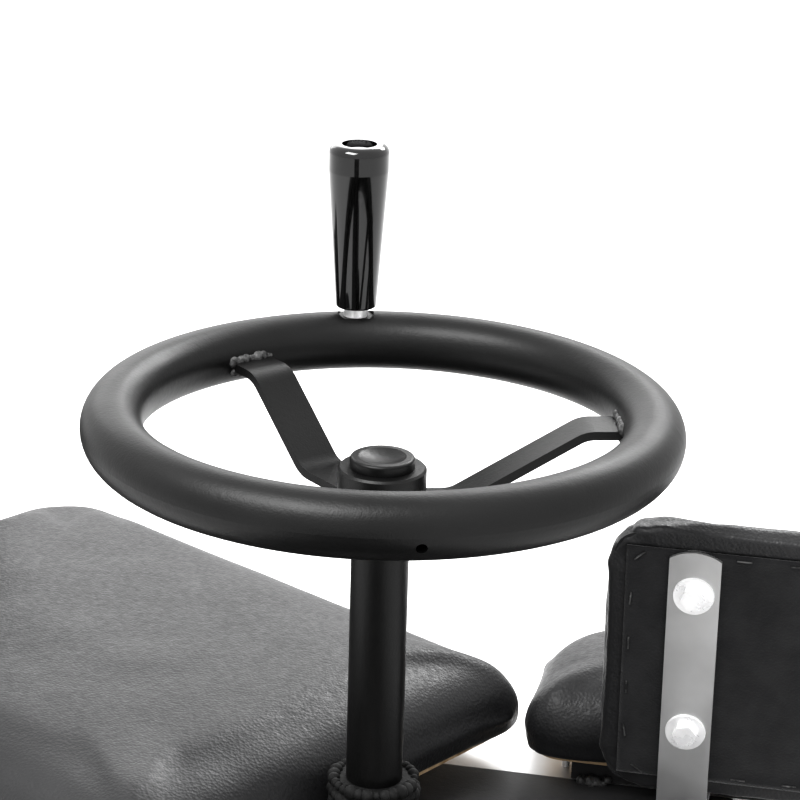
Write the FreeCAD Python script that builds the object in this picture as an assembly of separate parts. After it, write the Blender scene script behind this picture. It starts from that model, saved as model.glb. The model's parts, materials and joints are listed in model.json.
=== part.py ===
"""Hand-turned merry-go-round: a fixed base with a grab wheel on its spindle, and a rotor with seats.

Millimetres, +Z up. The origin is on the spindle axis at floor level. The right-hand seat's deck
edge runs along +X. Every sub-part is written to parts/NODE.step.
"""
import math
import os

import FreeCAD
import Part

V = FreeCAD.Vector
UP = V(0, 0, 1)

# ---- driving dimensions -------------------------------------------------------------------------
DECK_TOP = 320.0            # top of the rotor deck above the floor
WHEEL_RISE = 274.5          # grab wheel's centre plane above the deck
WHEEL_R = 150.0             # rim centre line radius
RIM_TUBE_R = 17.4
RIM_WALL = 2.5
SPINDLE_R = 12.5
POST_CLEAR = 1.1            # spindle to the post's bore
POST_WALL = 2.8
POST_BORE_R = SPINDLE_R + POST_CLEAR
POST_R = POST_BORE_R + POST_WALL

# base
BASE_PLATE_R = 180.0
BASE_PLATE_T = 12.0
ANCHOR_EDGE = 30.0          # anchor centres inside the plate's edge
ANCHOR_PCD = 2 * (BASE_PLATE_R - ANCHOR_EDGE)
ANCHOR_R = 5.5
LEG_COUNT = 4
LEG_REACH = 430.0
LEG_W = 50.0
LEG_H = 40.0
LEG_WALL = 3.0
LEG_CAP_T = 4.0
LEG_TURN = 45.0
FOOT_R = 30.0
PILLAR_R = 45.0
PILLAR_WALL = 6.0
PILLAR_BORE_R = PILLAR_R - PILLAR_WALL
PILLAR_TOP = 196.0
PILLAR_CAP_T = 8.0

# bearings and rotor hub
BALL_R = 4.5
BALL_COUNT = 9
GROOVE_WALL = 2.25          # race metal left under the groove
GROOVE_SHARE = 0.3          # groove depth as a share of the ball's radius
RACE_T = GROOVE_WALL + GROOVE_SHARE * BALL_R
BEARING_OD_R = SPINDLE_R + 2 * (BALL_R + GROOVE_WALL)
BEARING_W = 15.0
BEARING_SET = 4.0           # bearings inside the hub's end faces
HUB_WALL = 10.0
HUB_R = BEARING_OD_R + HUB_WALL
RIB_SHARE = 0.566           # rib height as a share of the hub's
RIB_REACH = 60.0            # out from the hub
RIB_T = 8.0
RIB_COUNT = 4
BUSH_H = 30.0
HUB_SHOULDER = 3.0
RUN_GAP = 0.05              # radial running clearance
FACE_GAP = 1.0              # gap between turning and fixed faces
BOOT_GAP = 0.5              # seat A's notch round the post boot

# deck
DECK_T = 8.0                # the rails are the same thickness, flush with the deck
DECK_CORNER = 4.0
DECK_HALF_X = 203.0
DECK_HALF_Y = 131.0
FLANGE_DEPTH = 34.0
FLANGE_T = 5.0
RAIL_W = 35.0
BRACKET_W = 30.0
BRACKET_T = 6.0
BRACKET_X = (-150.0, 120.0)
RAIL_GAP = 0.5
BOOT_WALL = 8.6
BOOT_R = POST_R + BOOT_WALL
BOOT_FOLD = 1.5
BOOT_WAIST = 1.0
BOOT_FOLDS = 4
BOOT_H = 56.0

# grab wheel
COLLAR_WALL = 12.5
COLLAR_CLOSE = 6.0          # collar metal over the spindle's end
COLLAR_EDGE = 1.2
HUB_COLLAR_R = SPINDLE_R + COLLAR_WALL
HUB_COLLAR_H = 38.0
HUB_COLLAR_DROP = 25.5      # collar top below the wheel plane
CAP_STEP = 6.7
CAP_R = HUB_COLLAR_R - CAP_STEP
CAP_LIP = 4.8               # flat ring round the cap's dish
CAP_EDGE = 1.8
CAP_H = 6.3
CAP_DISH = 2.4
SPOKE_ANGLES = (16.0, 138.0, 256.0)
SPOKE_W = 26.0
SPOKE_T = 5.0
SPOKE_SET = 20.5            # hub end's middle, below the collar's top
SPOKE_LOW = -HUB_COLLAR_DROP - SPOKE_SET
SPOKE_HIGH = -3.0
SPOKE_OFFSETS = (15.0, 36.0, 36.0)  # each spoke's inner bend, outside the collar
SPOKE_BEND_OUT = WHEEL_R - 38.0
SPOKE_BEND_R = 16.0         # inside of each bend
SPOKE_BURY = 5.0            # how far the bar is drawn into the rim before trimming
WELD_TOP_R = 3.6
WELD_FOOT_R = 3.0
DRAIN_R = 3.0
DRAIN_ANGLE = 288.5
DRAIN_SLOPE = -0.35

# grip
GRIP_ANGLE = 108.5
GRIP_LENGTH = 100.5
GRIP_TOP_R = 18.0
GRIP_FOOT_R = 12.4
GRIP_EDGE = 5.0
GRIP_FOOT_EDGE = 1.5
GRIP_LAND = 16.0            # straight length under the grip's top
SLEEVE_WALL = 1.5
PIN_SHOULDER_R = 7.4
PIN_SHOULDER_H = 6.0
PIN_R = 5.0
PIN_GAP = 0.3               # under the grip and over its pocket's floor
PIN_OVER = 4.0              # pin's end above the pocket's floor
FLAT_DEPTH = 1.8            # flat filed on the rim for the pin
RIM_FLAT = RIM_TUBE_R - FLAT_DEPTH
RIM_FLAT_R = 11.0
GRIP_LIP = 7.5
GRIP_POCKET_R = GRIP_TOP_R - GRIP_LIP
NUT_CLEAR = 2.5
NUT_H = 5.0
NUT_EDGE = 0.8
GRIP_POCKET_H = 9.0

# seats: local x across, y the way the rider faces, z above the deck; y = 0 is the back's rear face
SEAT_W = 350.0
PAD_BACK_GAP = 32.0         # back's rear face to the pad
PAD_BOTTOM = 19.5
PAD_H = 50.0
PAD_R = 28.0
PAD_TOP_EDGE = 20.0
BOARD_T = 12.0
BOARD_INSET = 9.0
BACK_W = 246.0
BACK_H = 186.0
BACK_BOTTOM = 26.0
BACK_T = 26.0
BACK_BOARD_T = 9.0
BACK_R = 22.0
BACK_EDGE = 9.0
BACK_BOARD_INSET = 8.0
BACK_BOARD_R = 14.0
BACK_LEAN = 7.0
STRAP_W = 30.0
STRAP_T = 5.0
STRAP_TOP = 171.0           # above the back's foot, along the lean
STRAP_CROWN_R = 26.0
STRAP_X = 68.0
BOLT_RISE = (50.0, 143.0)
WASHER_R = 12.0
WASHER_T = 1.6
BOLT_AF = 13.0
BOLT_HEAD_H = 5.3
BOLT_R = 4.0
ARM_W = 34.0
ARM_START = 62.0
LONG_PAD = 446.0
SHORT_PAD = 134.0
# seats A and C face the spindle at an angle; B stands beside A's front corner and faces +Y
SEAT_A_ANGLE = 150.0
SEAT_A_FRONT = 17.0
SEAT_C_ANGLE = 270.0
SEAT_GAP = 17.0             # seat A's corner to seat C's front
SEAT_SIDE_GAP = 4.4         # seat A's corner to seat B's side
SEAT_B_Y = 76.0
BEARER_W = 20.0
BEARER_SET = 33.0           # bearer's end inside seat B's side
BEARER_OFF = 1.5            # bearer behind the rail's near edge
BEARER_WELD_R = 7.0
BEARER_WELD_AT = 17.0       # weld inside the bearer's end, on its near side
BEARER_DROP_R = 5.5
STUD_R = 2.5
STUD_OFF = 5.5              # stud to the bearer's end

# ---- worked-out heights -------------------------------------------------------------------------
WHEEL_Z = DECK_TOP + WHEEL_RISE
COLLAR_TOP = WHEEL_Z - HUB_COLLAR_DROP
COLLAR_FOOT = COLLAR_TOP - HUB_COLLAR_H
BEARER_H = PAD_BOTTOM - STRAP_T
HUB_FOOT = PILLAR_TOP + PILLAR_CAP_T + 2 * FACE_GAP
LOWER_BEARING_Z = HUB_FOOT + BEARING_SET
UPPER_BEARING_Z = DECK_TOP - DECK_T - BEARING_SET - BEARING_W
RAIL_Y = DECK_HALF_Y + RAIL_GAP


# ---- shape helpers ------------------------------------------------------------------------------
def cyl(r, z0, z1, x=0.0, y=0.0):
    return Part.makeCylinder(r, z1 - z0, V(x, y, z0), UP)


def tube(r_out, r_in, z0, z1, x=0.0, y=0.0):
    return cyl(r_out, z0, z1, x, y).cut(cyl(r_in, z0 - 1, z1 + 1, x, y))


def box(x0, x1, y0, y1, z0, z1):
    return Part.makeBox(x1 - x0, y1 - y0, z1 - z0, V(x0, y0, z0))


def turned(shape, angle, centre=V(0, 0, 0), axis=UP):
    copy = shape.copy()
    copy.rotate(centre, axis, angle)
    return copy


def moved(shape, x=0.0, y=0.0, z=0.0):
    copy = shape.copy()
    copy.translate(V(x, y, z))
    return copy


def polar(radius, angle, z=0.0):
    a = math.radians(angle)
    return V(radius * math.cos(a), radius * math.sin(a), z)


def seat_a_corner(side):
    """Front corner of seat A's pad before its rounding; side 1 is towards seat C."""
    return polar(SEAT_A_FRONT, SEAT_A_ANGLE) + polar(SEAT_W / 2, SEAT_A_ANGLE + side * 90.0)


SEAT_C_FRONT = seat_a_corner(1).dot(polar(1, SEAT_C_ANGLE)) + SEAT_GAP
CORNER_ROUND = polar(PAD_R, SEAT_A_ANGLE + 180.0).x + polar(PAD_R, SEAT_A_ANGLE - 90.0).x - PAD_R
SEAT_B_X = seat_a_corner(-1).x - CORNER_ROUND + SEAT_SIDE_GAP + SEAT_W / 2
BEARER_X0 = SEAT_B_X - SEAT_W / 2 + BEARER_SET


def revolved(points):
    """Solid of revolution about Z from (radius, z) points."""
    wire = Part.makePolygon([V(r, 0, z) for r, z in points + points[:1]])
    return Part.Face(wire).revolve(V(0, 0, 0), UP, 360)


def rounded_block(x0, x1, y0, y1, z0, z1, corner):
    block = box(x0, x1, y0, y1, z0, z1)
    upright = [e for e in block.Edges if abs(e.Vertexes[0].Z - e.Vertexes[-1].Z) > 1e-6]
    return block.makeFillet(corner, upright)


def group(shapes):
    return Part.makeCompound(shapes)


# ---- base ---------------------------------------------------------------------------------------
def base_plate():
    plate = cyl(BASE_PLATE_R, 0, BASE_PLATE_T)
    for k in range(LEG_COUNT):
        hole = polar(ANCHOR_PCD / 2, 360.0 * k / LEG_COUNT)
        plate = plate.cut(cyl(ANCHOR_R, -1, BASE_PLATE_T + 1, hole.x, hole.y))
    return plate


def base_leg(index):
    inner = PILLAR_R + RUN_GAP
    z0 = BASE_PLATE_T
    leg = box(inner, LEG_REACH, -LEG_W / 2, LEG_W / 2, z0, z0 + LEG_H)
    hollow = box(inner - 1, LEG_REACH + 1, -LEG_W / 2 + LEG_WALL, LEG_W / 2 - LEG_WALL,
                 z0 + LEG_WALL, z0 + LEG_H - LEG_WALL)
    leg = leg.cut(hollow).cut(cyl(PILLAR_R, z0 - 1, z0 + LEG_H + 1))
    return turned(leg, LEG_TURN + 360.0 * index / LEG_COUNT)


def leg_caps():
    cap = box(LEG_REACH, LEG_REACH + LEG_CAP_T, -LEG_W / 2, LEG_W / 2, BASE_PLATE_T, BASE_PLATE_T + LEG_H)
    return group([turned(cap, LEG_TURN + 360.0 * k / LEG_COUNT) for k in range(LEG_COUNT)])


def leg_feet():
    spot = LEG_REACH - FOOT_R
    feet = []
    for k in range(LEG_COUNT):
        p = polar(spot, LEG_TURN + 360.0 * k / LEG_COUNT)
        feet.append(cyl(FOOT_R, 0, BASE_PLATE_T, p.x, p.y))
    return group(feet)


def pillar():
    return tube(PILLAR_R, PILLAR_BORE_R, BASE_PLATE_T, PILLAR_TOP)


def pillar_cap():
    return tube(PILLAR_R, SPINDLE_R, PILLAR_TOP, PILLAR_TOP + PILLAR_CAP_T)


def spindle():
    return cyl(SPINDLE_R, BASE_PLATE_T, COLLAR_TOP - COLLAR_CLOSE)


def bearing_spacer():
    return tube(SPINDLE_R + RACE_T, SPINDLE_R, PILLAR_TOP + PILLAR_CAP_T, LOWER_BEARING_Z)


def race_groove(z):
    pitch = (SPINDLE_R + BEARING_OD_R) / 2
    return Part.makeTorus(pitch, BALL_R + RUN_GAP, V(0, 0, z + BEARING_W / 2), UP)


def inner_race(z):
    return tube(SPINDLE_R + RACE_T, SPINDLE_R, z, z + BEARING_W).cut(race_groove(z))


def outer_race(z):
    return tube(BEARING_OD_R, BEARING_OD_R - RACE_T, z, z + BEARING_W).cut(race_groove(z))


def bearing_balls():
    pitch = (SPINDLE_R + BEARING_OD_R) / 2
    balls = []
    for z in (LOWER_BEARING_Z, UPPER_BEARING_Z):
        for k in range(BALL_COUNT):
            balls.append(Part.makeSphere(BALL_R, polar(pitch, 360.0 * k / BALL_COUNT, z + BEARING_W / 2)))
    return group(balls)


# ---- grab wheel ---------------------------------------------------------------------------------
def rim_solid(tube_r):
    return Part.makeTorus(WHEEL_R, tube_r, V(0, 0, WHEEL_Z), UP)


def grip_spot():
    return polar(WHEEL_R, GRIP_ANGLE)


def rim():
    p = grip_spot()
    ring = rim_solid(RIM_TUBE_R).cut(rim_solid(RIM_TUBE_R - RIM_WALL))
    ring = ring.cut(cyl(RIM_FLAT_R, WHEEL_Z + RIM_FLAT, WHEEL_Z + RIM_TUBE_R + 1, p.x, p.y))
    ring = ring.cut(cyl(PIN_R, WHEEL_Z, WHEEL_Z + RIM_TUBE_R + 1, p.x, p.y))
    out = polar(1, DRAIN_ANGLE, DRAIN_SLOPE)
    start = polar(WHEEL_R, DRAIN_ANGLE, WHEEL_Z)
    return ring.cut(Part.makeCylinder(DRAIN_R, RIM_TUBE_R + 5, start, out))


def spoke_bar(offset):
    """A flat bar along +X with two rounded bends, from inside the collar to inside the rim."""
    half = SPOKE_T / 2
    bend_in = HUB_COLLAR_R + offset
    line = [(SPINDLE_R, SPOKE_LOW), (bend_in, SPOKE_LOW),
            (SPOKE_BEND_OUT, SPOKE_HIGH), (WHEEL_R - RIM_TUBE_R + SPOKE_BURY, SPOKE_HIGH)]
    slope = math.atan2(SPOKE_HIGH - SPOKE_LOW, SPOKE_BEND_OUT - bend_in)
    mitre = half * math.tan(slope / 2)
    top = [(line[0][0], line[0][1] + half), (line[1][0] - mitre, line[1][1] + half),
           (line[2][0] - mitre, line[2][1] + half), (line[3][0], line[3][1] + half)]
    low = [(line[3][0], line[3][1] - half), (line[2][0] + mitre, line[2][1] - half),
           (line[1][0] + mitre, line[1][1] - half), (line[0][0], line[0][1] - half)]
    points = [V(x, -SPOKE_W / 2, WHEEL_Z + z) for x, z in top + low]
    bar = Part.Face(Part.makePolygon(points + points[:1])).extrude(V(0, SPOKE_W, 0))
    bar = round_bends(bar, (top[1], low[1]), SPOKE_BEND_R)
    return round_bends(bar, (low[2], top[2]), SPOKE_BEND_R + SPOKE_T)


def round_bends(bar, corners, radius):
    """Rounds a bar's cross edges that pass through the (x, height over the wheel plane) corners."""
    edges = []
    for edge in bar.Edges:
        middle = edge.BoundBox.Center
        for x, z in corners:
            at_corner = abs(middle.x - x) < 1e-3 and abs(middle.z - WHEEL_Z - z) < 1e-3
            if at_corner and edge.BoundBox.YLength > SPOKE_W - 1:
                edges.append(edge)
    return bar.makeFillet(radius, edges)


def spoke(angle, offset):
    bar = spoke_bar(offset).cut(cyl(HUB_COLLAR_R, COLLAR_FOOT - 1, COLLAR_TOP + 1))
    return turned(bar, angle).cut(rim_solid(RIM_TUBE_R))


def spoke_welds():
    """Rough fillet beads over and under each spoke's end at the rim."""
    beads = []
    reach = WHEEL_R - RIM_TUBE_R
    bar = spoke_bar(SPOKE_OFFSETS[0])
    for side, radius in ((1, WELD_TOP_R), (-1, WELD_FOOT_R)):
        height = WHEEL_Z + SPOKE_HIGH + side * SPOKE_T / 2
        bead = Part.makeCylinder(radius, SPOKE_W - 4, V(reach - 1.0, -SPOKE_W / 2 + 2, height), V(0, 1, 0))
        bead = bead.cut(bar).cut(rim_solid(RIM_TUBE_R))
        beads += [turned(solid, angle) for angle in SPOKE_ANGLES for solid in bead.Solids]
    return group(beads)


def hub_collar():
    collar = cyl(HUB_COLLAR_R, COLLAR_FOOT, COLLAR_TOP)
    rim_edges = [e for e in collar.Edges if abs(e.BoundBox.ZLength) < 1e-6]
    collar = collar.makeChamfer(COLLAR_EDGE, rim_edges)
    return collar.cut(cyl(SPINDLE_R, COLLAR_FOOT - 1, COLLAR_TOP - COLLAR_CLOSE))


def hub_cap():
    cap = cyl(CAP_R, COLLAR_TOP, COLLAR_TOP + CAP_H)
    cap = cap.makeFillet(CAP_EDGE, [e for e in cap.Edges if e.BoundBox.ZMin > COLLAR_TOP + CAP_H - 0.01])
    reach = CAP_R - CAP_LIP
    dish_r = (reach ** 2 + CAP_DISH ** 2) / (2 * CAP_DISH)
    ball = Part.makeSphere(dish_r, V(0, 0, COLLAR_TOP + CAP_H - CAP_DISH + dish_r))
    return cap.cut(ball)


# ---- grip ---------------------------------------------------------------------------------------
PIN_FOOT = WHEEL_Z + RIM_FLAT
GRIP_FOOT = PIN_FOOT + PIN_SHOULDER_H
GRIP_TOP = GRIP_FOOT + GRIP_LENGTH
PIN_TOP = GRIP_TOP - GRIP_POCKET_H + PIN_OVER


def grip_pin():
    p = grip_spot()
    shoulder = cyl(PIN_SHOULDER_R, PIN_FOOT, GRIP_FOOT - PIN_GAP, p.x, p.y)
    return shoulder.fuse(cyl(PIN_R, WHEEL_Z + RIM_TUBE_R / 2, PIN_TOP, p.x, p.y)).removeSplitter()


def grip():
    p = grip_spot()
    body = revolved([(0, GRIP_FOOT), (GRIP_FOOT_R, GRIP_FOOT), (GRIP_TOP_R, GRIP_TOP - GRIP_LAND),
                     (GRIP_TOP_R, GRIP_TOP), (0, GRIP_TOP)])
    top = [e for e in body.Edges if e.BoundBox.ZMin > GRIP_TOP - 0.01 and e.BoundBox.XMax > GRIP_TOP_R - 0.1]
    low = [e for e in body.Edges if e.BoundBox.ZMax < GRIP_FOOT + 0.01]
    foot = [e for e in low if e.BoundBox.XMax > GRIP_FOOT_R - 0.1]
    body = body.makeFillet(GRIP_EDGE, top).makeFillet(GRIP_FOOT_EDGE, foot)
    body = body.cut(cyl(PIN_R + SLEEVE_WALL, GRIP_FOOT - 1, GRIP_TOP))
    body = body.cut(cyl(GRIP_POCKET_R, GRIP_TOP - GRIP_POCKET_H, GRIP_TOP + 1))
    return moved(body, p.x, p.y)


def grip_sleeve():
    p = grip_spot()
    return tube(PIN_R + SLEEVE_WALL, PIN_R + RUN_GAP, GRIP_FOOT, GRIP_TOP - GRIP_POCKET_H, p.x, p.y)


def grip_nut():
    p = grip_spot()
    z0 = GRIP_TOP - GRIP_POCKET_H + PIN_GAP
    radius = GRIP_POCKET_R - NUT_CLEAR
    nut = tube(radius, PIN_R, z0, z0 + NUT_H, p.x, p.y)
    top = [e for e in nut.Edges if e.BoundBox.ZMin > z0 + NUT_H - 0.1]
    outer = [e for e in top if e.BoundBox.XLength > 2 * radius - 1]
    return nut.makeChamfer(NUT_EDGE, outer)


# ---- rotor --------------------------------------------------------------------------------------
def rotor_hub():
    top = DECK_TOP - DECK_T
    body = cyl(HUB_R, HUB_FOOT, top)
    body = body.cut(cyl(BEARING_OD_R - HUB_SHOULDER, HUB_FOOT - 1, top + 1))
    body = body.cut(cyl(BEARING_OD_R, HUB_FOOT - 1, LOWER_BEARING_Z + BEARING_W))
    return body.cut(cyl(BEARING_OD_R, UPPER_BEARING_Z, top + 1))


def hub_ribs():
    top = DECK_TOP - DECK_T
    depth = RIB_SHARE * (top - HUB_FOOT)
    half = RIB_T / 2
    points = [V(HUB_R - 1, -half, top), V(HUB_R + RIB_REACH, -half, top), V(HUB_R - 1, -half, top - depth)]
    rib = Part.Face(Part.makePolygon(points + points[:1])).extrude(V(0, RIB_T, 0)).cut(cyl(HUB_R, 0, top + 1))
    return group([turned(rib, 360.0 * k / RIB_COUNT) for k in range(RIB_COUNT)])


def deck_plate():
    plate = rounded_block(-DECK_HALF_X, DECK_HALF_X, -DECK_HALF_Y, DECK_HALF_Y, DECK_TOP - DECK_T, DECK_TOP,
                          DECK_CORNER)
    for side in (-1, 1):
        outer = side * DECK_HALF_X
        x0, x1 = sorted((outer, outer - side * FLANGE_T))
        y1 = DECK_HALF_Y - DECK_CORNER - 1
        plate = plate.fuse(box(x0, x1, -y1, y1, DECK_TOP - FLANGE_DEPTH, DECK_TOP - DECK_T))
    plate = plate.removeSplitter()
    return plate.cut(cyl(POST_BORE_R, DECK_TOP - DECK_T - 1, DECK_TOP + 1))


def post():
    return tube(POST_R, POST_BORE_R, DECK_TOP, COLLAR_FOOT - FACE_GAP)


def post_bush():
    top = COLLAR_FOOT - FACE_GAP
    return tube(POST_BORE_R, SPINDLE_R + RUN_GAP, top - BUSH_H, top)


def post_boot():
    """Bellows-like boot round the post's foot."""
    points = [(POST_R, DECK_TOP), (BOOT_R, DECK_TOP)]
    for k in range(BOOT_FOLDS):
        z = DECK_TOP + BOOT_H * (k + 0.5) / BOOT_FOLDS
        points += [(BOOT_R + BOOT_FOLD, z), (BOOT_R - BOOT_WAIST, z + BOOT_H / BOOT_FOLDS / 2)]
    points += [(POST_R, DECK_TOP + BOOT_H)]
    return revolved(points)


def rails():
    """The rear rail runs on under seat B; the front one ends with the deck."""
    far = SEAT_B_X + SEAT_W / 2 - BOARD_INSET
    rear = box(-DECK_HALF_X, far, RAIL_Y, RAIL_Y + RAIL_W, DECK_TOP - DECK_T, DECK_TOP)
    front = box(-DECK_HALF_X, DECK_HALF_X, -RAIL_Y - RAIL_W, -RAIL_Y, DECK_TOP - DECK_T, DECK_TOP)
    return group([rear, front])


def rail_brackets():
    """Flat bars under the deck that carry both rails."""
    bars = []
    for x in BRACKET_X:
        z1 = DECK_TOP - DECK_T
        bars.append(box(x, x + BRACKET_W, -RAIL_Y - RAIL_W, RAIL_Y + RAIL_W, z1 - BRACKET_T, z1))
    return group(bars)


def bearer():
    y0 = RAIL_Y + BEARER_OFF
    far = SEAT_B_X + SEAT_W / 2 - 2 * BOARD_INSET
    return box(BEARER_X0, far, y0, y0 + BEARER_W, DECK_TOP, DECK_TOP + BEARER_H)


def bearer_weld():
    y0 = RAIL_Y + BEARER_OFF
    x = BEARER_X0 + BEARER_WELD_AT
    bead = Part.makeSphere(BEARER_WELD_R, V(x, y0, DECK_TOP))
    bead = bead.fuse(Part.makeSphere(BEARER_DROP_R, V(x - BEARER_WELD_R, y0, DECK_TOP)))
    reach = 3 * BEARER_WELD_R
    x0, x1 = x - reach, x + reach
    bead = bead.common(box(x0, x1, y0 - reach, y0 + reach, DECK_TOP, DECK_TOP + reach))
    return bead.cut(bearer()).removeSplitter()


def seat_stud():
    return cyl(STUD_R, DECK_TOP, DECK_TOP + PAD_BOTTOM, BEARER_X0 - STUD_OFF, RAIL_Y + BEARER_W - STUD_R)


def arms():
    """Two bars on the deck under each of the seats that face the spindle."""
    bars = []
    for angle, front in ((SEAT_A_ANGLE, SEAT_A_FRONT), (SEAT_C_ANGLE, SEAT_C_FRONT)):
        outer = front + LONG_PAD + PAD_BACK_GAP
        for side in (-1, 1):
            y0 = side * STRAP_X - ARM_W / 2
            bars.append(turned(box(ARM_START, outer, y0, y0 + ARM_W, DECK_TOP, DECK_TOP + BEARER_H), angle))
    return group(bars)


# ---- seats --------------------------------------------------------------------------------------
def leaned(shape):
    return turned(shape, BACK_LEAN, V(0, 0, BACK_BOTTOM), V(1, 0, 0))


def seat_board(depth):
    y0 = PAD_BACK_GAP + BOARD_INSET
    y1 = PAD_BACK_GAP + depth - BOARD_INSET
    half = SEAT_W / 2 - BOARD_INSET
    return rounded_block(-half, half, y0, y1, PAD_BOTTOM, PAD_BOTTOM + BOARD_T, PAD_R - BOARD_INSET)


def seat_cushion(depth):
    half = SEAT_W / 2
    y1 = PAD_BACK_GAP + depth
    pad = rounded_block(-half, half, PAD_BACK_GAP, y1, PAD_BOTTOM, PAD_BOTTOM + PAD_H, PAD_R)
    top = [e for e in pad.Edges if e.BoundBox.ZMin > PAD_BOTTOM + PAD_H - 0.01]
    return pad.makeFillet(PAD_TOP_EDGE, top).cut(seat_board(depth))


def back_outer():
    half = BACK_W / 2
    slab = box(-half, half, 0, BACK_T, BACK_BOTTOM, BACK_BOTTOM + BACK_H)
    along_y = [e for e in slab.Edges if e.BoundBox.YLength > BACK_T - 0.01]
    slab = slab.makeFillet(BACK_R, along_y)
    front = [e for e in slab.Edges if e.BoundBox.YMin > BACK_T - 0.01]
    return slab.makeFillet(BACK_EDGE, front)


def back_board_block():
    half = BACK_W / 2 - BACK_BOARD_INSET
    foot = BACK_BOTTOM + BACK_BOARD_INSET
    slab = box(-half, half, 0, BACK_BOARD_T, foot, BACK_BOTTOM + BACK_H - BACK_BOARD_INSET)
    along_y = [e for e in slab.Edges if e.BoundBox.YLength > BACK_BOARD_T - 0.01]
    return slab.makeFillet(BACK_BOARD_R, along_y)


def bolt_points():
    return [(side * STRAP_X, BACK_BOTTOM + rise) for side in (-1, 1) for rise in BOLT_RISE]


def back_holes():
    shanks = []
    length = STRAP_T + BACK_BOARD_T + 2
    for x, z in bolt_points():
        shanks.append(Part.makeCylinder(BOLT_R, length, V(x, -STRAP_T - 1, z), V(0, 1, 0)))
    return shanks


def back_board():
    board = back_board_block()
    for shank in back_holes():
        board = board.cut(shank)
    return leaned(board)


def back_pad():
    pad = back_outer().cut(back_board_block())
    for shank in back_holes():
        pad = pad.cut(shank)
    return leaned(pad)


def strap_foot_end(depth):
    return PAD_BACK_GAP + depth - 2 * BOARD_INSET


def strap(x, depth):
    """A flat bar bent under the seat board, its upright leaning with the back."""
    top = BACK_BOTTOM + STRAP_TOP
    crown = Part.makeCylinder(STRAP_CROWN_R, STRAP_T, V(x, -STRAP_T, top - STRAP_CROWN_R), V(0, 1, 0))
    lower = box(x - STRAP_W / 2, x + STRAP_W / 2, -STRAP_T, 0, BEARER_H - 3, top - STRAP_CROWN_R)
    upper = box(x - STRAP_W / 2, x + STRAP_W / 2, -STRAP_T, 0, top - STRAP_CROWN_R, top).common(crown)
    upright = leaned(lower.fuse(upper))
    keep = box(x - STRAP_W, x + STRAP_W, -100, 100, BEARER_H, BACK_BOTTOM + 2 * BACK_H)
    foot = box(x - STRAP_W / 2, x + STRAP_W / 2, -STRAP_T, strap_foot_end(depth), BEARER_H, PAD_BOTTOM)
    bar = upright.common(keep).fuse(foot).removeSplitter()
    for shank in back_holes():
        bar = bar.cut(leaned(shank))
    return bar


def straps(depth):
    return group([strap(side * STRAP_X, depth) for side in (-1, 1)])


def hex_head(x, z, y):
    points = []
    for k in range(7):
        a = math.radians(60 * k + 30)
        reach = BOLT_AF / math.sqrt(3)
        points.append(V(x + reach * math.cos(a), y, z + reach * math.sin(a)))
    return Part.Face(Part.makePolygon(points)).extrude(V(0, -BOLT_HEAD_H, 0))


def back_washers():
    rings = []
    for x, z in bolt_points():
        y = -STRAP_T
        disc = Part.makeCylinder(WASHER_R, WASHER_T, V(x, y - WASHER_T, z), V(0, 1, 0))
        rings.append(leaned(disc.cut(Part.makeCylinder(BOLT_R, 20, V(x, y - 10, z), V(0, 1, 0)))))
    return group(rings)


def back_bolts():
    bolts = []
    for x, z in bolt_points():
        y = -STRAP_T - WASHER_T
        shank = Part.makeCylinder(BOLT_R, STRAP_T + WASHER_T + BACK_BOARD_T - 0.5, V(x, y, z), V(0, 1, 0))
        bolts.append(leaned(hex_head(x, z, y).fuse(shank)))
    return group(bolts)


def place_seat(shape, seat):
    """Seat A and C face the spindle; seat B faces +Y beside it."""
    if seat == "b":
        return moved(shape, SEAT_B_X, SEAT_B_Y, DECK_TOP)
    angle, front = (SEAT_A_ANGLE, SEAT_A_FRONT) if seat == "a" else (SEAT_C_ANGLE, SEAT_C_FRONT)
    back = polar(front + LONG_PAD + PAD_BACK_GAP, angle)
    return moved(turned(shape, angle + 90.0), back.x, back.y, DECK_TOP)


def seat_nodes(seat, depth):
    shapes = {
        "board": seat_board(depth),
        "cushion": seat_cushion(depth),
        "back_board": back_board(),
        "back_pad": back_pad(),
        "straps": straps(depth),
        "washers": back_washers(),
        "bolts": back_bolts(),
    }
    placed = {f"seat_{seat}_{name}": place_seat(shape, seat) for name, shape in shapes.items()}
    notch = cyl(BOOT_R + BOOT_FOLD + BOOT_GAP, DECK_TOP, DECK_TOP + PAD_BOTTOM + PAD_H + 1)
    for name in (f"seat_{seat}_board", f"seat_{seat}_cushion"):
        placed[name] = placed[name].cut(notch)
    return placed


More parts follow.
